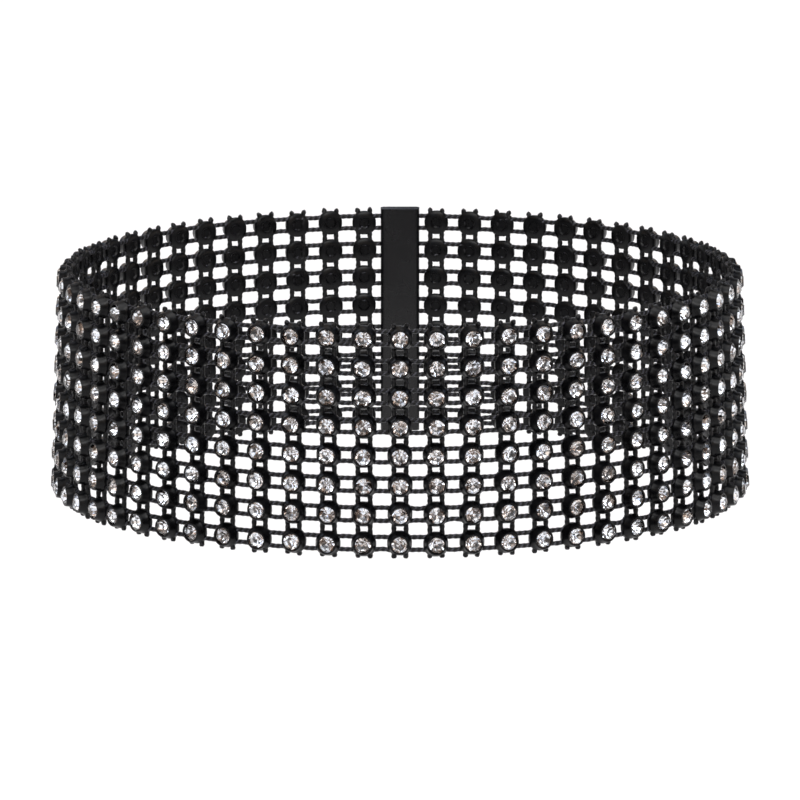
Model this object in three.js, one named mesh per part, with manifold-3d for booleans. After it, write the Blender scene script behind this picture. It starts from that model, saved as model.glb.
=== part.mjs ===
// A wide rhinestone-mesh choker. Eight rows of clear faceted stones sit in black moulded settings,
// the settings are strung on a net of paired threads, and one plain bar clasp closes the band at the back.
// Millimetres, +Z up. The origin is the middle of the neck opening at half the band's height.
// The front of the neck faces -Y, and the wearer's left is +X.

import * as THREE from "three";
import { ConvexGeometry } from "three/addons/geometries/ConvexGeometry.js";
import { mergeVertices } from "three/addons/utils/BufferGeometryUtils.js";
import Module from "manifold-3d";

const wasm = await Module();
wasm.setup();

// The neck line is the oval that the band's inner face follows at half its height.
const neckHalfWidth = 54.8;
const neckHalfDepth = 51.3;
// How much further out than the top edge the bottom edge lies, at each side of the neck.
const flare = 1.3;

// The field of stones. One column stands in the middle of the front, and the others on its two sides.
const columnsEachSide = 28;
const rows = 8;
const rowPitch = 4.8;

// The settings of a column stand so close that they are one upright bar with the stones on it.
const settingWidth = 3.4;
const settingDepth = 2.0;
// From the middle of the outer row to the cut ends of the upright threads.
const edgeReach = 2.1;

// A stone has an eight-sided girdle, a square table and eight crown facets between them.
const stoneDiameter = 2.85;
const stoneRise = 0.6;
const tableShare = 0.55;

// The threads run level from column to column, in a pair for each row.
const threadThickness = 0.6;
const threadPlane = 0.45;
const threadSpread = 2.18;

// The clasp is one upright bar, with a slot along each edge that grips the thread ends of that side.
const claspWidth = 6.6;
const claspWall = 0.7;
const claspCorner = 0.8;
const gripDepth = 2;
const threadClearance = 0.3;
// Of each thread, between the last column and the clasp.
const bareThread = 1.1;

// The two halves of the net meet in front with this gap between their thread ends.
const meetingGap = 0.3;
// How far a joined form reaches into the one that it is joined to.
const weld = 0.3;
const stoneSeat = 0.1;
// Points closer than this are one point.
const pointTolerance = 1e-4;

const blackPlastic = new THREE.MeshStandardMaterial({ color: 0x0c0c0e, roughness: 0.35, metalness: 0 });
const blackEnamel = new THREE.MeshStandardMaterial({ color: 0x17171a, roughness: 0.3, metalness: 0.4 });

const bandHeight = (rows - 1) * rowPitch + 2 * edgeReach;
const neckLine = new THREE.EllipseCurve(0, 0, neckHalfWidth, neckHalfDepth, -Math.PI / 2, 1.5 * Math.PI);
neckLine.arcLengthDivisions = 2000;
const neckLength = neckLine.getLength();
// Between the middles of the last columns of the two sides, across the clasp.
const closureArc = claspWidth + 2 * bareThread + settingWidth;
const columnPitch = (neckLength - closureArc) / (2 * columnsEachSide);

// The band's own axes at a place on the neck line, given by its arc from the front: X runs along the band,
// Y points into the neck, and Z climbs the wall, which leans outwards below.
function bandFrame(arc) {
  const share = THREE.MathUtils.euclideanModulo(arc / neckLength, 1);
  const point = neckLine.getPointAt(share);
  const tangent = neckLine.getTangentAt(share);
  const lean = (flare / bandHeight) * (point.x / neckHalfWidth);
  const along = new THREE.Vector3(tangent.x, tangent.y, 0);
  const climb = new THREE.Vector3(-lean, 0, 1);
  const inward = new THREE.Vector3().crossVectors(climb, along).normalize();
  climb.crossVectors(along, inward).normalize();
  return new THREE.Matrix4().makeBasis(along, inward, climb).setPosition(point.x, point.y, 0);
}

// A point in space from its place in a band frame, with depth counted outwards from the inner face.
function bandPoint(frame, along, depth, height) {
  return new THREE.Vector3(along, -depth, height).applyMatrix4(frame);
}

// A closed three.js geometry, moved by a matrix, as a solid that can be joined and cut.
function solidFrom(geometry, matrix) {
  const bare = geometry.clone().applyMatrix4(matrix);
  bare.deleteAttribute("normal");
  bare.deleteAttribute("uv");
  const merged = mergeVertices(bare, pointTolerance);
  return new wasm.Manifold(
    new wasm.Mesh({
      numProp: 3,
      vertProperties: merged.attributes.position.array,
      triVerts: new Uint32Array(merged.index.array),
    }),
  );
}

// The joined solid as a named mesh, after the points that only divided a flat face are taken out.
function meshFrom(solid, name, material) {
  const { vertProperties, triVerts } = solid.asOriginal().simplify(pointTolerance).getMesh();
  const indexed = new THREE.BufferGeometry()
    .setAttribute("position", new THREE.BufferAttribute(vertProperties, 3))
    .setIndex(new THREE.BufferAttribute(triVerts, 1));
  const geometry = indexed.toNonIndexed();
  geometry.computeVertexNormals();
  const mesh = new THREE.Mesh(geometry, material);
  mesh.name = name;
  return mesh;
}

function settingBar(frame) {
  const bar = new THREE.BoxGeometry(settingWidth, settingDepth, bandHeight).translate(0, -settingDepth / 2, 0);
  return solidFrom(bar, frame);
}

function rowHeight(row) {
  return ((rows - 1) / 2 - row) * rowPitch;
}

// The stone's girdle and table face outwards, and its foot is sunk a little into the setting.
function stoneGeometry() {
  const girdle = Array.from({ length: 8 }, (_, i) => (i + 0.5) * (Math.PI / 4));
  const table = Array.from({ length: 4 }, (_, i) => (i + 0.5) * (Math.PI / 2));
  const girdleRadius = stoneDiameter / 2;
  const tableRadius = girdleRadius * tableShare * Math.SQRT2;
  const ring = (angles, radius, depth) =>
    angles.map((a) => new THREE.Vector3(radius * Math.cos(a), -depth, radius * Math.sin(a)));
  return new ConvexGeometry([
    ...ring(girdle, girdleRadius, settingDepth - stoneSeat),
    ...ring(table, tableRadius, settingDepth + stoneRise),
  ]);
}

function stonesOn(frame) {
  const stone = stoneGeometry();
  return Array.from({ length: rows }, (_, row) => {
    const lift = new THREE.Matrix4().makeTranslation(0, 0, rowHeight(row));
    return solidFrom(stone, frame.clone().multiply(lift));
  });
}

// A straight run of thread between two points, square in section, with one face towards the neck.
function threadRun(start, end, frame) {
  const along = end.clone().sub(start);
  const length = along.length();
  along.normalize();
  const climb = new THREE.Vector3().setFromMatrixColumn(frame, 2);
  const inward = new THREE.Vector3().crossVectors(climb, along).normalize();
  climb.crossVectors(along, inward);
  const middle = start.clone().lerp(end, 0.5);
  const place = new THREE.Matrix4().makeBasis(along, inward, climb).setPosition(middle);
  return solidFrom(new THREE.BoxGeometry(length, threadThickness, threadThickness), place);
}

// The heights of the threads that are kept: the topmost, the lower one of the middle row, and the lowest.
const middleRow = Math.floor((rows - 1) / 2);
const threadHeights = [
  rowHeight(0) + threadSpread / 2,
  rowHeight(middleRow) - threadSpread / 2,
  rowHeight(rows - 1) - threadSpread / 2,
];

// The threads leave a column at its side, so a point there lies just inside the setting.
const threadRoot = settingWidth / 2 - weld;

// The threads from one band frame to another, with how far along each of them they end.
function threads(near, nearAlong, far, farAlong) {
  return threadHeights.map((height) =>
    threadRun(
      bandPoint(near, nearAlong, threadPlane, height),
      bandPoint(far, farAlong, threadPlane, height),
      near,
    ),
  );
}

// How far from the clasp's middle the gripped threads end.
const grippedEnd = claspWidth / 2 - gripDepth + threadClearance;
const claspFrame = bandFrame(neckLength / 2);

// One half of the net, from its first column beside the front to the last one beside the clasp.
// side is 1 for the columns on +X and -1 for those on -X. The halves meet between columns 0 and -1.
function netHalf(firstColumn, side) {
  const count = columnsEachSide - firstColumn + 1;
  const frames = Array.from({ length: count }, (_, i) => bandFrame(side * (firstColumn + i) * columnPitch));
  const forms = frames.flatMap((frame) => [settingBar(frame), ...stonesOn(frame)]);
  frames.slice(1).forEach((frame, i) => {
    forms.push(...threads(frames[i], side * threadRoot, frame, -side * threadRoot));
  });
  const meeting = bandFrame(-columnPitch / 2);
  forms.push(...threads(frames[0], -side * threadRoot, meeting, (side * meetingGap) / 2));
  forms.push(...threads(frames.at(-1), side * threadRoot, claspFrame, -side * grippedEnd));
  return wasm.Manifold.union(forms);
}

function roundedRectangle(width, depth, corner) {
  const x = width / 2 - corner;
  const y = depth / 2 - corner;
  return new THREE.Shape()
    .absarc(x, y, corner, 0, Math.PI / 2)
    .absarc(-x, y, corner, Math.PI / 2, Math.PI)
    .absarc(-x, -y, corner, Math.PI, 1.5 * Math.PI)
    .absarc(x, -y, corner, 1.5 * Math.PI, 2 * Math.PI);
}

// The slots hold the threads with a clearance all round, and the bar has its wall outside them.
const slotWidth = threadThickness + 2 * threadClearance;
const slotHeight = 2 * threadHeights[0] + slotWidth;
const claspDepth = slotWidth + 2 * claspWall;
const claspHeight = slotHeight + 2 * claspWall;

function clasp() {
  const outline = roundedRectangle(claspWidth, claspDepth, claspCorner);
  const bar = new THREE.ExtrudeGeometry(outline, { depth: claspHeight, bevelEnabled: false, curveSegments: 4 });
  bar.translate(0, -threadPlane, -claspHeight / 2);
  const slots = [-1, 1].map((edge) => {
    const slot = new THREE.BoxGeometry(2 * gripDepth, slotWidth, slotHeight);
    return solidFrom(slot.translate((edge * claspWidth) / 2, -threadPlane, 0), claspFrame);
  });
  return slots.reduce((body, slot) => body.subtract(slot), solidFrom(bar, claspFrame));
}

const choker = new THREE.Group();
choker.add(meshFrom(netHalf(0, 1), "net_left", blackPlastic));
choker.add(meshFrom(netHalf(1, -1), "net_right", blackPlastic));
choker.add(meshFrom(clasp(), "clasp", blackEnamel));

export default choker;
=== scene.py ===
# A wide rhinestone-mesh choker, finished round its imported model. Black moulded settings with clear cut
# stones stand in eight rows, strung on twisted level and upright threads, with a plain clasp behind.
# Lengths in this script are millimetres until they go into a mesh or a light. +Z is up, the front is -Y.

import math

import bpy
import numpy as np
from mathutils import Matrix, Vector


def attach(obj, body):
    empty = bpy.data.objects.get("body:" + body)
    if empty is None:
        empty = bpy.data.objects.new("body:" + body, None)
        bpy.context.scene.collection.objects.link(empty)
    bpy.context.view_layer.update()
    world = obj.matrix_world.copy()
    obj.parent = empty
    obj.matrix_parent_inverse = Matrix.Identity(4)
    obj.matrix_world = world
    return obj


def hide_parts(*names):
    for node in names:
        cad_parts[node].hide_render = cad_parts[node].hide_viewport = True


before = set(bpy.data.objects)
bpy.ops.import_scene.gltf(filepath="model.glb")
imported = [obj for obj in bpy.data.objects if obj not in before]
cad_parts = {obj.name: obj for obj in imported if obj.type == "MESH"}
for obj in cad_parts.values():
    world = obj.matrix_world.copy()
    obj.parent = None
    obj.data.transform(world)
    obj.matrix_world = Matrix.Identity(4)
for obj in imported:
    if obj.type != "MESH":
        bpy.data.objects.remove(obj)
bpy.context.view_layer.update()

MM = 0.001

# The neck line is the oval that the band's inner face follows at half its height.
NECK_HALF_WIDTH = 54.8
NECK_HALF_DEPTH = 51.3
# Its length is measured in this many straight steps.
NECK_STEPS = 4000
# How much further out than the top edge the bottom edge lies, at each side of the neck.
FLARE = 1.3
COLUMNS_EACH_SIDE = 28
ROWS = 8
ROW_PITCH = 4.8
# From the middle of an outer row to the band's edge.
EDGE_REACH = 2.1
BAND_HEIGHT = (ROWS - 1) * ROW_PITCH + 2 * EDGE_REACH

# Across the back: the clasp's bar, a stretch of bare thread on each side, and half a packed column each.
CLASP_WIDTH = 6.6
BARE_THREAD = 1.1
PACKED_COLUMN_WIDTH = 3.4
CLOSURE_ARC = CLASP_WIDTH + 2 * BARE_THREAD + PACKED_COLUMN_WIDTH
# How far a level thread reaches into the clasp.
THREAD_GRIP = 1.4

# A setting is a rounded square base with a round bezel on it, open in front for the stone. Depths here and
# below count outwards from the band's inner face.
SETTING_HALF_WIDTH = 2.01
SETTING_HALF_HEIGHT = 2.02
BASE_DEPTH = 1.05
BASE_ROUNDING = 0.2
# The moulding's shallow dimple in the middle of the back.
DIMPLE_RADIUS = 0.95
DIMPLE_FLOOR_RADIUS = 0.75
DIMPLE_DEPTH = 0.28
BEZEL_FOOT_RADIUS = 1.76
BEZEL_RIM_RADIUS = 1.62
BEZEL_LIP_RADIUS = 1.32
RIM_DEPTH = 2.09
# The seat is this much wider than the stone at its girdle, and as much narrower below it. Its wall and its
# floor lie behind the girdle and the culet by the same drop.
SEAT_PLAY = 0.02
SEAT_DROP = 0.2
# The power of a ring of the setting gives its corners: the first one a circle, the second a rounded square.
ROUND = 2.0
CORNER_POWER = 2.35
SETTING_SIDES = 24
SETTING_SMOOTH_ANGLE = math.radians(50)

# A plain eight-sided cut: a flat table, eight crown facets round it, and eight foiled facets behind.
FACETS = 8
STONE_RADIUS = 1.42
TABLE_RADIUS = 0.84
GIRDLE_DEPTH = 1.9
GIRDLE_BAND = 0.06
CROWN_HEIGHT = 0.56
CULET_DEPTH = 0.74
# The foil has a painted highlight over this share of each facet. From there its tone falls by so much up to
# the girdle, a painted shade.
PAINTED_HIGHLIGHT_SHARE = 0.7
GIRDLE_PAINTED_SHADE = 0.6

# The threads are two-ply cord, in pairs. An offset is from the middle of a row or a column. A lap is how far
# the finely shaped stretch between two settings reaches into them, and it has so many rings of points.
THREAD_PLANE = 0.45
PLY_RELIEF = 0.09
TWIST_LENGTH = 1.9
THREAD_SIDES = 10
THREAD_SMOOTH_ANGLE = math.radians(70)

# The level threads run through the rows. Where one shows between two settings, it bows a little by chance.
LEVEL_THREAD_RADIUS = 0.38
LEVEL_THREAD_OFFSET = 1.04
LEVEL_LAP = 0.35
LEVEL_BOW = 0.07
LEVEL_RINGS = 10
TAIL_RINGS = 7

# The upright threads run through the columns, and pinch together between two settings.
UPRIGHT_THREAD_RADIUS = 0.4
UPRIGHT_THREAD_OFFSET = 1.03
UPRIGHT_LAP = 0.25
UPRIGHT_PINCH = 0.05
UPRIGHT_RINGS = 6
# From a row's middle to where an upright thread comes out of the setting.
UPRIGHT_REACH = SETTING_HALF_HEIGHT - UPRIGHT_LAP

# The cut ends: pointed ears that splay and lean outwards above, and blunt stubs below. Splay and lean are a
# mean and a spread, and the taper is the share of the radius lost at the tip, at the least and the most.
EAR_LENGTH = 0.64
EAR_SPLAY = (0.2, 0.08)
EAR_LEAN = (0.28, 0.12)
EAR_TAPER = (0.55, 0.8)
EAR_SWELLING = 0.2
STUB_LENGTH = 0.62
STUB_WANDER = 0.05
STUB_TAPER = 0.25
STUB_SWELLING = 0.12
CUT_SPREAD = 0.06

# Settings and hand-set stones are never quite alike. A stone may lie in its seat at any turn.
SETTING_TURN = math.radians(5)
SETTING_TILT = math.radians(2.2)
SETTING_SHIFT = 0.05
STONE_TURN = 2 * math.pi
STONE_TILT = math.radians(3.5)
STONE_SHIFT = 0.02
# A piece shifts less in and out than along the band and up it.
DEPTH_SHIFT_SHARE = 0.3
chance = np.random.default_rng(58)

# The two halves of the net: the side of the front that each is on, its word in the pieces' names, and its
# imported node.
HALVES = (
    (1, "left", "net_left"),
    (-1, "right", "net_right"),
)


# The band and its axes

def neck_arcs():
    """Angles round the oval from the middle of the front towards +X, and the arc length at each."""
    angles = np.linspace(0.0, 2.0 * math.pi, NECK_STEPS + 1)
    x = NECK_HALF_WIDTH * np.sin(angles)
    y = -NECK_HALF_DEPTH * np.cos(angles)
    arcs = np.concatenate([[0.0], np.cumsum(np.hypot(np.diff(x), np.diff(y)))])
    return angles, arcs


NECK_ANGLES, NECK_ARCS = neck_arcs()
NECK_LENGTH = NECK_ARCS[-1]
COLUMN_PITCH = (NECK_LENGTH - CLOSURE_ARC) / (2 * COLUMNS_EACH_SIDE)


def unit(vectors):
    return vectors / np.linalg.norm(vectors, axis=-1, keepdims=True)


def band_axes(arcs):
    """The band's own place and axes at arcs from the front: along it, outwards from it and up its wall."""
    angles = np.interp(np.mod(arcs, NECK_LENGTH), NECK_ARCS, NECK_ANGLES)
    zero = np.zeros_like(angles)
    place = np.stack([NECK_HALF_WIDTH * np.sin(angles), -NECK_HALF_DEPTH * np.cos(angles), zero], -1)
    along = unit(np.stack([NECK_HALF_WIDTH * np.cos(angles), NECK_HALF_DEPTH * np.sin(angles), zero], -1))
    lean = (FLARE / BAND_HEIGHT) * np.sin(angles)
    outward = unit(np.cross(along, np.stack([-lean, zero, zero + 1.0], -1)))
    return place, along, outward, np.cross(outward, along)


def on_band(arcs, local):
    """Points in space from places on the band: local holds how far along, outwards and up from each arc."""
    place, along, outward, climb = band_axes(arcs)
    return place + along * local[..., 0:1] + outward * local[..., 1:2] + climb * local[..., 2:3]


def row_height(row):
    return ((ROWS - 1) / 2 - row) * ROW_PITCH


def column_numbers(side):
    """The columns of one half: the left one has the middle column too."""
    return np.arange(0, COLUMNS_EACH_SIDE + 1) if side > 0 else -np.arange(1, COLUMNS_EACH_SIDE + 1)


# Making meshes

def face_corners(faces):
    """The number of the point at each corner, one face after another."""
    return np.concatenate([np.asarray(face) for face in faces])


def repeated_mesh(name, copies, faces, smooth_angle=None, face_slots=None, corner_values=None):
    """One mesh object from copies of a form. copies holds the points of each, faces the form's own faces.

    corner_values is a name and a number for each corner of each copy's faces, which a material can read.
    """
    count, points = copies.shape[:2]
    corners = face_corners(faces)
    sizes = np.tile([len(face) for face in faces], count)
    mesh = bpy.data.meshes.new(name)
    mesh.vertices.add(count * points)
    mesh.vertices.foreach_set("co", (copies * MM).ravel())
    mesh.loops.add(count * len(corners))
    mesh.loops.foreach_set("vertex_index", (corners + points * np.arange(count)[:, None]).ravel())
    mesh.polygons.add(len(sizes))
    mesh.polygons.foreach_set("loop_start", np.concatenate([[0], np.cumsum(sizes)[:-1]]))
    if face_slots is not None:
        mesh.polygons.foreach_set("material_index", np.tile(face_slots, count))
    mesh.polygons.foreach_set("use_smooth", np.full(len(sizes), smooth_angle is not None))
    mesh.update(calc_edges=True)
    if smooth_angle is not None:
        mesh.set_sharp_from_angle(angle=smooth_angle)
    if corner_values is not None:
        label, values = corner_values
        attribute = mesh.attributes.new(label, "FLOAT", "CORNER")
        attribute.data.foreach_set("value", values.astype(np.float32).ravel())
    piece = bpy.data.objects.new(name, mesh)
    bpy.context.scene.collection.objects.link(piece)
    return piece


def lofted_faces(rings, sides):
    """Quads between rings of points that follow one another, with the two ends closed."""
    faces = []
    for ring in range(rings - 1):
        low, high = ring * sides, (ring + 1) * sides
        for i in range(sides):
            j = (i + 1) % sides
            faces.append((low + i, low + j, high + j, high + i))
    faces.append(tuple(reversed(range(sides))))
    faces.append(tuple(range((rings - 1) * sides, rings * sides)))
    return faces


def dress(piece, slot, nodes, *materials):
    """Gives a piece its materials, attaches it to the root and hides the imported nodes it stands in for.
    The slot is not used.
    """
    for material in materials:
        piece.data.materials.append(material)
    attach(piece, "root")
    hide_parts(*nodes)


# Settings

def setting_ring(half_width, half_height, depth, power):
    """One ring of the setting, at a depth and with a corner power."""
    angles = (np.arange(SETTING_SIDES) + 0.5) * (2 * math.pi / SETTING_SIDES)
    cosine, sine = np.cos(angles), np.sin(angles)
    x = half_width * np.sign(cosine) * np.abs(cosine) ** (2 / power)
    z = half_height * np.sign(sine) * np.abs(sine) ** (2 / power)
    return np.stack([x, np.full_like(x, depth), z], -1)


def setting_form():
    """The setting's points and faces, from a dimple in its back round the outside into the stone's seat."""
    w, h = SETTING_HALF_WIDTH, SETTING_HALF_HEIGHT
    foot, rim, lip = BEZEL_FOOT_RADIUS, BEZEL_RIM_RADIUS, BEZEL_LIP_RADIUS
    seat, throat = STONE_RADIUS + SEAT_PLAY, STONE_RADIUS - SEAT_PLAY
    # The columns are half the ring's width, half its height, its depth and its corner power.
    profile = [
        (DIMPLE_FLOOR_RADIUS, DIMPLE_FLOOR_RADIUS, DIMPLE_DEPTH, ROUND),
        (DIMPLE_RADIUS, DIMPLE_RADIUS, 0.0, ROUND),
        (w - BASE_ROUNDING, h - BASE_ROUNDING, 0.0, CORNER_POWER),
        (w, h, BASE_ROUNDING, CORNER_POWER),
        (w, h, BASE_DEPTH - 0.3, CORNER_POWER),
        (w - 0.1, h - 0.07, BASE_DEPTH - 0.06, CORNER_POWER),
        (foot, foot, BASE_DEPTH + 0.22, ROUND),
        (rim + 0.03, rim + 0.03, RIM_DEPTH - 0.14, ROUND),
        (rim - 0.05, rim - 0.05, RIM_DEPTH, ROUND),
        (lip, lip, RIM_DEPTH, ROUND),
        (seat, seat, GIRDLE_DEPTH, ROUND),
        (throat, throat, GIRDLE_DEPTH - SEAT_DROP, ROUND),
        (0.3, 0.3, CULET_DEPTH - SEAT_DROP, ROUND),
    ]
    rings = [setting_ring(*row) for row in profile]
    return np.concatenate(rings), lofted_faces(len(rings), SETTING_SIDES)


def spun(form, angles):
    """A copy of the form for each angle, turned by it about the outward axis."""
    cosine, sine = np.cos(angles)[:, None], np.sin(angles)[:, None]
    x, y, z = form.T
    turned_x = x * cosine - z * sine
    turned_z = x * sine + z * cosine
    return np.stack([turned_x, np.broadcast_to(y, turned_x.shape), turned_z], -1)


def placed_on_columns(form, side, spin, tilt, shift):
    """A copy of the form at each crossing of one half, each spun, tilted and shifted a little by chance."""
    numbers = np.repeat(column_numbers(side), ROWS)
    heights = np.tile([row_height(row) for row in range(ROWS)], len(numbers) // ROWS)
    copies = spun(form, chance.uniform(-spin / 2, spin / 2, len(numbers)))
    copies = copies + np.cross(chance.normal(0.0, tilt / 2, (len(numbers), 1, 3)), copies)
    copies = copies + chance.normal(0.0, shift, (len(numbers), 1, 3)) * [1.0, DEPTH_SHIFT_SHARE, 1.0]
    copies[..., 2] += heights[:, None]
    arcs = np.repeat((numbers * COLUMN_PITCH)[:, None], form.shape[0], axis=1)
    return on_band(arcs, copies)


# Stones

def stone_ring(radius, depth, count):
    angles = np.arange(count) * (2 * math.pi / count)
    return np.stack([radius * np.cos(angles), np.full(count, depth), radius * np.sin(angles)], -1)


def stone_form():
    """The stone's points and faces, and which faces are the foiled back: 1 for those, 0 for the others."""
    girdle_points = 2 * FACETS
    back_depth = GIRDLE_DEPTH - GIRDLE_BAND
    fringe_depth = CULET_DEPTH + PAINTED_HIGHLIGHT_SHARE * (back_depth - CULET_DEPTH)
    points = np.concatenate([
        stone_ring(TABLE_RADIUS, GIRDLE_DEPTH + CROWN_HEIGHT, FACETS),
        stone_ring(STONE_RADIUS, GIRDLE_DEPTH, girdle_points),
        stone_ring(STONE_RADIUS, back_depth, girdle_points),
        stone_ring(PAINTED_HIGHLIGHT_SHARE * STONE_RADIUS, fringe_depth, FACETS),
        [[0.0, CULET_DEPTH, 0.0]],
    ])
    # Where each ring's points start: the table, the girdle's upper and lower edge, the foil, and the culet.
    table = 0
    upper = table + FACETS
    lower = upper + girdle_points
    fringe = lower + girdle_points
    culet = fringe + FACETS
    crown = [tuple(range(table, table + FACETS))]
    back = []
    for k in range(FACETS):
        following = (k + 1) % FACETS
        corner, middle, corner_next = 2 * k, 2 * k + 1, (2 * k + 2) % girdle_points
        crown.append((upper + corner, upper + corner_next, table + following, table + k))
        crown.append((upper + corner, upper + middle, upper + corner_next))
        crown.append((lower + corner, lower + middle, upper + middle, upper + corner))
        crown.append((lower + middle, lower + corner_next, upper + corner_next, upper + middle))
        back.append((fringe + following, fringe + k, culet))
        back.append((lower + corner_next, lower + corner, fringe + k, fringe + following))
        back.append((lower + corner_next, lower + middle, lower + corner))
    return points, crown + back, [0] * len(crown) + [1] * len(back)


def painted_facet_tones(count, form, faces, face_slots):
    """A painted reflection tone for each foiled facet, given to its corners, with painted shade at the
    girdle.

    Every stone has the same eight painted tones, from dark to bright, dealt to its facets by chance.
    """
    even_tones = (np.arange(FACETS) + 0.5) / FACETS
    dealt = chance.permuted(np.tile(even_tones, (count, 1)), axis=1)
    tones = np.zeros((count, len(faces)))
    tones[:, np.flatnonzero(face_slots)] = np.repeat(dealt, sum(face_slots) // FACETS, axis=1)
    corners = face_corners(faces)
    # Corners at the girdle take the painted shade of the stone's dark rim.
    painted_rim_corners = np.isclose(np.hypot(form[corners, 0], form[corners, 2]), STONE_RADIUS)
    sizes = [len(face) for face in faces]
    return "painted_facet_reflection", np.repeat(tones, sizes, axis=1) - GIRDLE_PAINTED_SHADE * painted_rim_corners


# Threads

def ply_passes(turns):
    """How many times a ply has passed each corner of each thread's faces, for the cord's stripes."""
    rings = np.arange(turns.shape[1] - 1)[:, None, None] + np.array([0, 0, 1, 1])
    sides = np.arange(THREAD_SIDES)[None, :, None] + np.array([0, 1, 1, 0])
    rings, sides = (grid.ravel() for grid in np.broadcast_arrays(rings, sides))
    passes = (turns[:, rings] + sides * (2 * math.pi / THREAD_SIDES)) / math.pi
    both_caps = np.zeros((len(turns), 2 * THREAD_SIDES))
    return np.concatenate([passes, both_caps], axis=1)


def thread_rings(arcs, local, radii, turns, relief):
    """Rings round a thread that runs through places on the band. The two plies turn with the thread."""
    path = on_band(arcs, local)
    direction = unit(np.gradient(path, axis=0))
    outward = band_axes(arcs)[2]
    side = unit(np.cross(direction, outward))
    front = np.cross(direction, side)
    angles = np.arange(THREAD_SIDES) * (2 * math.pi / THREAD_SIDES)
    swell = 1.0 + relief[:, None] * np.cos(2 * (angles[None, :] + turns[:, None]))
    radius = radii[:, None] * swell
    across = side[:, None] * (radius * np.cos(angles))[..., None]
    depth = front[:, None] * (radius * np.sin(angles))[..., None]
    return (path[:, None] + across + depth).reshape(-1, 3)


def level_thread(height, phase):
    """A thread from the clasp round the front and back to it, fine where it shows between the settings."""
    edge = SETTING_HALF_WIDTH - LEVEL_LAP
    numbers = np.arange(-COLUMNS_EACH_SIDE, COLUMNS_EACH_SIDE)
    share = np.linspace(0.0, 1.0, LEVEL_RINGS)
    start = numbers * COLUMN_PITCH + edge
    arcs = (start[:, None] + (COLUMN_PITCH - 2 * edge) * share[None, :]).ravel()
    bow = chance.normal(0.0, LEVEL_BOW, (len(numbers), 1)) * np.sin(math.pi * share)[None, :]
    tail_end = PACKED_COLUMN_WIDTH / 2 + BARE_THREAD + THREAD_GRIP
    tail = COLUMNS_EACH_SIDE * COLUMN_PITCH + np.linspace(edge, tail_end, TAIL_RINGS)
    arcs = np.concatenate([-tail[::-1], arcs, tail])
    lift = np.concatenate([np.zeros(len(tail)), bow.ravel(), np.zeros(len(tail))])
    local = np.stack([np.zeros_like(arcs), np.full_like(arcs, THREAD_PLANE), height + lift], -1)
    radii = np.full_like(arcs, LEVEL_THREAD_RADIUS)
    turns = arcs * (2 * math.pi / TWIST_LENGTH) + phase
    return thread_rings(arcs, local, radii, turns, np.full_like(arcs, PLY_RELIEF)), turns


def level_threads():
    threads = []
    for row in range(ROWS):
        for offset in (LEVEL_THREAD_OFFSET, -LEVEL_THREAD_OFFSET):
            threads.append(level_thread(row_height(row) + offset, chance.uniform(0, math.pi)))
    return threads


def upright_heights():
    """Heights up a column at which an upright thread has a ring: fine between settings and at its ends."""
    stretches = [row_height(ROWS - 1) - UPRIGHT_REACH - np.linspace(STUB_LENGTH, 0.0, UPRIGHT_RINGS)]
    for row in reversed(range(ROWS - 1)):
        low, high = row_height(row + 1) + UPRIGHT_REACH, row_height(row) - UPRIGHT_REACH
        stretches.append(np.linspace(low, high, UPRIGHT_RINGS))
    stretches.append(row_height(0) + UPRIGHT_REACH + np.linspace(0.0, EAR_LENGTH, UPRIGHT_RINGS))
    return np.concatenate(stretches)


def upright_thread(number, side, heights):
    """A thread up one side of a column. ear and stub go from 0 at a cut end's root to 1 at its tip."""
    ear = np.clip((heights - row_height(0) - UPRIGHT_REACH) / EAR_LENGTH, 0.0, 1.0)
    stub = np.clip((row_height(ROWS - 1) - UPRIGHT_REACH - heights) / STUB_LENGTH, 0.0, 1.0)
    splay = chance.normal(*EAR_SPLAY) * ear + chance.normal(0.0, STUB_WANDER) * stub
    lean = chance.normal(*EAR_LEAN) * ear ** 1.5 + chance.normal(0.0, STUB_WANDER) * stub
    extra = chance.normal(0.0, CUT_SPREAD) * ear - chance.normal(0.0, CUT_SPREAD) * stub
    pinch = UPRIGHT_PINCH * np.sin(math.pi * (heights - row_height(0)) / ROW_PITCH) ** 2
    along = side * (UPRIGHT_THREAD_OFFSET + splay - pinch)
    local = np.stack([along, THREAD_PLANE + lean, heights + extra], -1)
    taper = chance.uniform(*EAR_TAPER) * ear ** 2.2 + STUB_TAPER * stub ** 4
    swelling = EAR_SWELLING * np.sin(math.pi * ear) + STUB_SWELLING * np.sin(math.pi * stub)
    radii = UPRIGHT_THREAD_RADIUS * (1.0 - taper + swelling)
    relief = PLY_RELIEF * (1.0 - np.maximum(ear, stub))
    arcs = np.full_like(heights, number * COLUMN_PITCH)
    turns = heights * (2 * math.pi / TWIST_LENGTH) + chance.uniform(0, math.pi)
    return thread_rings(arcs, local, radii, turns, relief), turns


def upright_threads():
    heights = upright_heights()
    numbers = range(-COLUMNS_EACH_SIDE, COLUMNS_EACH_SIDE + 1)
    return [upright_thread(number, side, heights) for number in numbers for side in (-1, 1)]


# Materials

def linear(hex_colour):
    """An sRGB hex colour as linear red, green, blue and alpha."""
    parts = [int(hex_colour[i:i + 2], 16) / 255 for i in (1, 3, 5)]
    return [p / 12.92 if p <= 0.04045 else ((p + 0.055) / 1.055) ** 2.4 for p in parts] + [1.0]


def add(tree, kind, inputs=None, **settings):
    """Adds a node with its settings. An input is a value, or another node's socket to link."""
    node = tree.nodes.new("ShaderNode" + kind)
    for name, value in settings.items():
        setattr(node, name, value)
    for name, value in (inputs or {}).items():
        if isinstance(value, bpy.types.NodeSocket):
            tree.links.new(value, node.inputs[name])
        else:
            node.inputs[name].default_value = value
    return node


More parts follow.
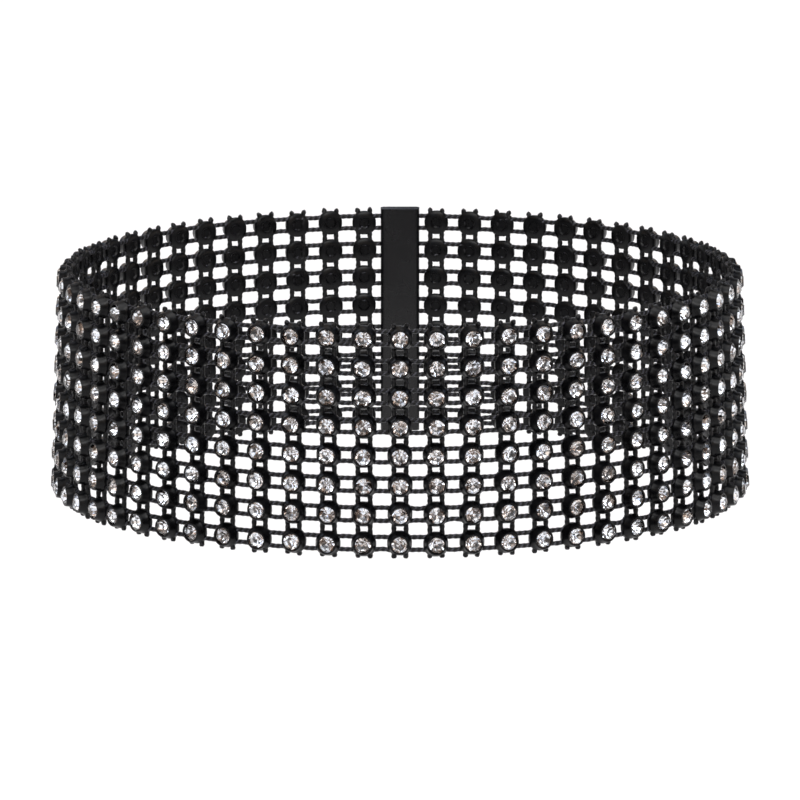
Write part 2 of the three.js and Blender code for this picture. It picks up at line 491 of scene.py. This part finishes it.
def ramp(tree, value, stops):
    """The colour at a value, from stops that each have a position and a hex colour.

    The colours come after all the places, because a stop that moves past another one swaps with it.
    """
    node = add(tree, "ValToRGB", {"Fac": value})
    elements = node.color_ramp.elements
    while len(elements) < len(stops):
        elements.new(0.5)
    for element, (position, _) in zip(elements, stops):
        element.position = position
    for element, (_, colour) in zip(elements, stops):
        element.color = linear(colour)
    return node.outputs["Color"]


def new_material(name):
    material = bpy.data.materials.new(name)
    material.use_nodes = True
    material.node_tree.nodes.clear()
    return material


def finish_material(material, shader):
    add(material.node_tree, "OutputMaterial", {"Surface": shader.outputs["BSDF"]})
    return material


def moulded_abs():
    """Black ABS, moulded: a soft gloss that varies from place to place, with flow marks and fine grain."""
    material = new_material("moulded_abs")
    tree = material.node_tree
    place = add(tree, "TexCoord").outputs["Object"]
    flow = add(tree, "TexNoise", {"Vector": place, "Scale": 1 / (2.5 * MM), "Detail": 3.0})
    grain = add(tree, "TexNoise", {"Vector": place, "Scale": 1 / (0.35 * MM), "Detail": 2.0})
    colour = ramp(tree, flow.outputs["Fac"], ((0.3, "#020203"), (0.7, "#08080A")))
    gloss = add(tree, "MapRange", {"Value": flow.outputs["Fac"], "To Min": 0.2, "To Max": 0.36})
    bump = add(tree, "Bump", {"Height": grain.outputs["Fac"], "Strength": 0.12, "Distance": 0.04 * MM})
    shader = add(tree, "BsdfPrincipled", {
        "Base Color": colour,
        "Roughness": gloss.outputs["Result"],
        "Normal": bump.outputs["Normal"],
        "Specular IOR Level": 0.16,
    })
    return finish_material(material, shader)


def cut_crystal():
    """Clear lead-free crystal, cut and polished: sharp glints, and a clear view of the foil behind."""
    material = new_material("cut_crystal")
    shader = add(material.node_tree, "BsdfPrincipled", {
        "Base Color": linear("#FAFCFF"),
        "Roughness": 0.015,
        "IOR": 1.55,
        "Transmission Weight": 1.0,
    })
    return finish_material(material, shader)


def silver_foil_painted_reflection():
    """Silver foil on the stone's back, its colour a painted reflection: each facet has its own painted tone,
    warm where dark.

    Its tone falls to near black at the girdle, a painted shade that gives a stone a dark rim round a painted
    bright middle.
    """
    material = new_material("silver_foil_painted_reflection")
    tree = material.node_tree
    place = add(tree, "TexCoord").outputs["Object"]
    facet = add(tree, "Attribute", attribute_name="painted_facet_reflection").outputs["Fac"]
    mottle = add(tree, "TexNoise", {"Vector": place, "Scale": 1 / (0.8 * MM), "Detail": 0.0}).outputs["Fac"]
    tone = add(tree, "Math", {0: facet, 1: mottle}, operation="ADD").outputs["Value"]
    share = add(tree, "MapRange", {"Value": tone, "From Min": 0.4, "From Max": 1.6}).outputs["Result"]
    # The foil's colours run from warm, dark painted shade to a painted white highlight.
    colour = ramp(tree, share, (
        (0.05, "#241C18"),
        (0.17, "#6A584C"),
        (0.28, "#AEA298"),
        (0.4, "#E0DEDE"),
        (0.52, "#FAFCFF"),
    ))
    shader = add(tree, "BsdfPrincipled", {
        "Base Color": colour,
        "Metallic": 1.0,
        "Roughness": 0.16,
    })
    return finish_material(material, shader)


def twisted_cord(name, painted_shade_colour, painted_highlight_colour):
    """Waxed black cord of two plies: its colour is painted shade, dull black, between the plies and a
    painted highlight along each ridge.
    """
    material = new_material(name)
    tree = material.node_tree
    place = add(tree, "TexCoord").outputs["Object"]
    passes = add(tree, "Attribute", attribute_name="ply_passes").outputs["Fac"]
    turn = add(tree, "Math", {0: passes, 1: 2 * math.pi}, operation="MULTIPLY").outputs["Value"]
    wave = add(tree, "Math", {0: turn}, operation="COSINE").outputs["Value"]
    fibre = add(tree, "TexNoise", {"Vector": place, "Scale": 1 / (0.25 * MM), "Detail": 2.0}).outputs["Fac"]
    ply = add(tree, "MapRange", {"Value": wave, "From Min": -1.0, "From Max": 1.0}).outputs["Result"]
    painted_sheen_and_fibre = add(tree, "Math", {0: ply, 1: fibre}, operation="MULTIPLY").outputs["Value"]
    # Painted shade between the plies, and a painted highlight along each ridge, broken by the fibres.
    colour = ramp(tree, painted_sheen_and_fibre, ((0.3, painted_shade_colour), (0.6, painted_highlight_colour)))
    relief = add(tree, "Math", {0: ply, 1: painted_sheen_and_fibre}, operation="ADD").outputs["Value"]
    bump = add(tree, "Bump", {"Height": relief, "Strength": 0.5, "Distance": 0.12 * MM})
    shader = add(tree, "BsdfPrincipled", {
        "Base Color": colour,
        "Roughness": 0.36,
        "Normal": bump.outputs["Normal"],
        "Specular IOR Level": 0.22,
    })
    return finish_material(material, shader)


def black_enamel():
    """Stoved black enamel on the clasp's metal: a smooth gloss with a trace of orange peel."""
    material = new_material("black_enamel")
    tree = material.node_tree
    place = add(tree, "TexCoord").outputs["Object"]
    peel = add(tree, "TexNoise", {"Vector": place, "Scale": 1 / (0.9 * MM), "Detail": 1.0})
    wear = add(tree, "TexNoise", {"Vector": place, "Scale": 1 / (4.0 * MM), "Detail": 4.0})
    gloss = add(tree, "MapRange", {"Value": wear.outputs["Fac"], "To Min": 0.16, "To Max": 0.36})
    bump = add(tree, "Bump", {"Height": peel.outputs["Fac"], "Strength": 0.15, "Distance": 0.03 * MM})
    shader = add(tree, "BsdfPrincipled", {
        "Base Color": linear("#08080A"),
        "Roughness": gloss.outputs["Result"],
        "Normal": bump.outputs["Normal"],
        "Specular IOR Level": 0.35,
    })
    return finish_material(material, shader)


def studio_paper():
    """Matt white paper for the floor: a plain ground with no shine."""
    material = new_material("studio_paper")
    shader = add(material.node_tree, "BsdfPrincipled", {
        "Base Color": linear("#F6F6F6"),
        "Roughness": 0.95,
        "Specular IOR Level": 0.1,
    })
    return finish_material(material, shader)


# The object's pieces

def build_settings(plastic):
    form, faces = setting_form()
    for side, word, node in HALVES:
        copies = placed_on_columns(form, side, SETTING_TURN, SETTING_TILT, SETTING_SHIFT)
        piece = repeated_mesh("settings_" + word, copies, faces, smooth_angle=SETTING_SMOOTH_ANGLE)
        dress(piece, "setting_plastic", [node], plastic)


def build_stones(crystal, foil):
    form, faces, face_slots = stone_form()
    for side, word, node in HALVES:
        copies = placed_on_columns(form, side, STONE_TURN, STONE_TILT, STONE_SHIFT)
        # The painted reflection tones of the stones' foil.
        tones = painted_facet_tones(len(copies), form, faces, face_slots)
        piece = repeated_mesh("stones_" + word, copies, faces, face_slots=face_slots, corner_values=tones)
        dress(piece, "crystal", [node], crystal, foil)


def build_threads(level_cord, upright_cord):
    for name, threads, cord in (
        ("level_threads", level_threads(), level_cord),
        ("upright_threads", upright_threads(), upright_cord),
    ):
        points, turns = (np.stack(parts) for parts in zip(*threads))
        faces = lofted_faces(turns.shape[1], THREAD_SIDES)
        stripes = ("ply_passes", ply_passes(turns))
        piece = repeated_mesh(name, points, faces, smooth_angle=THREAD_SMOOTH_ANGLE, corner_values=stripes)
        dress(piece, "thread", ["net_left", "net_right"], cord)


# The enamel rounds the clasp's edges by this much. Only edges sharper than the angle are rounded.
CLASP_EDGE = 0.22
CLASP_EDGE_STEPS = 3
CLASP_EDGE_ANGLE = math.radians(40)


def finish_clasp(enamel):
    """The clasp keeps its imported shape, with its edges softened as enamel leaves them."""
    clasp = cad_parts["clasp"]
    clasp.data.materials.clear()
    clasp.data.materials.append(enamel)
    soften = clasp.modifiers.new("soft_edges", "BEVEL")
    soften.width = CLASP_EDGE * MM
    soften.segments = CLASP_EDGE_STEPS
    soften.limit_method = "ANGLE"
    soften.angle_limit = CLASP_EDGE_ANGLE
    soften.harden_normals = True


# The studio

CAMERA_DISTANCE = 1600.0
CAMERA_ELEVATION = math.radians(11.28)
CAMERA_LENS = 435.3
# The camera looks at a point a little below the origin, which puts the band where the photo has it.
AIM_DROP = 3.73
CLIP_NEAR = 50.0
CLIP_FAR = 50000.0

FLOOR_DROP = 350.0
FLOOR_HALF_SIZE = 12000.0

# The softbox stands in front of the band and above it.
SOFTBOX_PLACE = (0.0, -950.0, 750.0)
SOFTBOX_SIZE = (800.0, 400.0)
SOFTBOX_WATTS = 7.0

# The light from overhead comes from a wide, slightly tilted patch of sky.
SKY_STRENGTH = 1.8
SKY_SPREAD = math.radians(50)
SKY_TILT = (math.radians(14), math.radians(8), 0.0)

# Up to the first height above the horizon, as a share of the way straight up, the room is plain white. From
# the second one on, its patches have their full contrast.
PLAIN_RISE = 0.04
PATCHY_RISE = 0.12


def aim(thing, target):
    thing.rotation_euler = (Vector(target) - thing.location).to_track_quat("-Z", "Y").to_euler()


def place_camera():
    data = bpy.data.cameras.new("camera")
    data.lens = CAMERA_LENS
    data.clip_start = CLIP_NEAR * MM
    data.clip_end = CLIP_FAR * MM
    camera = bpy.data.objects.new("camera", data)
    bpy.context.scene.collection.objects.link(camera)
    reach = CAMERA_DISTANCE * MM
    camera.location = (0.0, -reach * math.cos(CAMERA_ELEVATION), reach * math.sin(CAMERA_ELEVATION))
    aim(camera, (0.0, 0.0, -AIM_DROP * MM))
    bpy.context.scene.camera = camera


def place_softbox():
    data = bpy.data.lights.new("front_box", "AREA")
    data.shape = "RECTANGLE"
    data.size, data.size_y = (side * MM for side in SOFTBOX_SIZE)
    data.energy = SOFTBOX_WATTS
    light = bpy.data.objects.new("front_box", data)
    light.location = Vector(SOFTBOX_PLACE) * MM
    aim(light, (0.0, 0.0, 0.0))
    bpy.context.scene.collection.objects.link(light)


def place_sky_light():
    data = bpy.data.lights.new("overhead", "SUN")
    data.energy = SKY_STRENGTH
    data.angle = SKY_SPREAD
    light = bpy.data.objects.new("overhead", data)
    light.rotation_euler = SKY_TILT
    bpy.context.scene.collection.objects.link(light)


def studio_room():
    """A pale room with bright, dark, warm and cool patches above the horizon for the stones to mirror."""
    world = bpy.data.worlds.new("studio")
    bpy.context.scene.world = world
    world.use_nodes = True
    tree = world.node_tree
    tree.nodes.clear()
    direction = add(tree, "TexCoord").outputs["Generated"]
    rise = add(tree, "SeparateXYZ", {"Vector": direction}).outputs["Z"]
    patches = add(tree, "TexNoise", {"Vector": direction, "Scale": 3.2, "Detail": 0.0})
    tints = add(tree, "TexNoise", {"Vector": direction, "Scale": 2.5, "Detail": 0.0})
    patch_light = add(tree, "MapRange", {
        "Value": patches.outputs["Fac"],
        "From Min": 0.47,
        "From Max": 0.54,
        "To Min": 0.01,
        "To Max": 1.3,
    })
    strength = add(tree, "MapRange", {
        "Value": rise,
        "From Min": PLAIN_RISE,
        "From Max": PATCHY_RISE,
        "To Min": 1.0,
        "To Max": patch_light.outputs["Result"],
    })
    tint = add(tree, "MapRange", {
        "Value": rise,
        "From Min": PLAIN_RISE,
        "From Max": PATCHY_RISE,
        "To Min": 0.5,
        "To Max": tints.outputs["Fac"],
    })
    colour = ramp(tree, tint.outputs["Result"], ((0.4, "#DCE8FF"), (0.5, "#FFFFFF"), (0.6, "#FFEBDA")))
    light = add(tree, "Background", {"Color": colour, "Strength": strength.outputs["Result"]})
    add(tree, "OutputWorld", {"Surface": light.outputs["Background"]})


def studio_floor():
    half, height = FLOOR_HALF_SIZE * MM, -FLOOR_DROP * MM
    corners = [(-half, -half, height), (half, -half, height), (half, half, height), (-half, half, height)]
    mesh = bpy.data.meshes.new("floor")
    mesh.from_pydata(corners, [], [(0, 1, 2, 3)])
    floor = bpy.data.objects.new("floor", mesh)
    floor.data.materials.append(studio_paper())
    bpy.context.scene.collection.objects.link(floor)


def build_studio():
    place_camera()
    studio_room()
    studio_floor()
    place_sky_light()
    place_softbox()
    bpy.context.scene.view_settings.view_transform = "Standard"


build_studio()
build_settings(moulded_abs())
build_stones(cut_crystal(), silver_foil_painted_reflection())
# Each cord's colours: painted shade between the plies, then its painted highlight along the ridges.
level_cord = twisted_cord("level_cord", "#020203", "#484850")
upright_cord = twisted_cord("upright_cord", "#020203", "#1C1C20")
build_threads(level_cord, upright_cord)
finish_clasp(black_enamel())
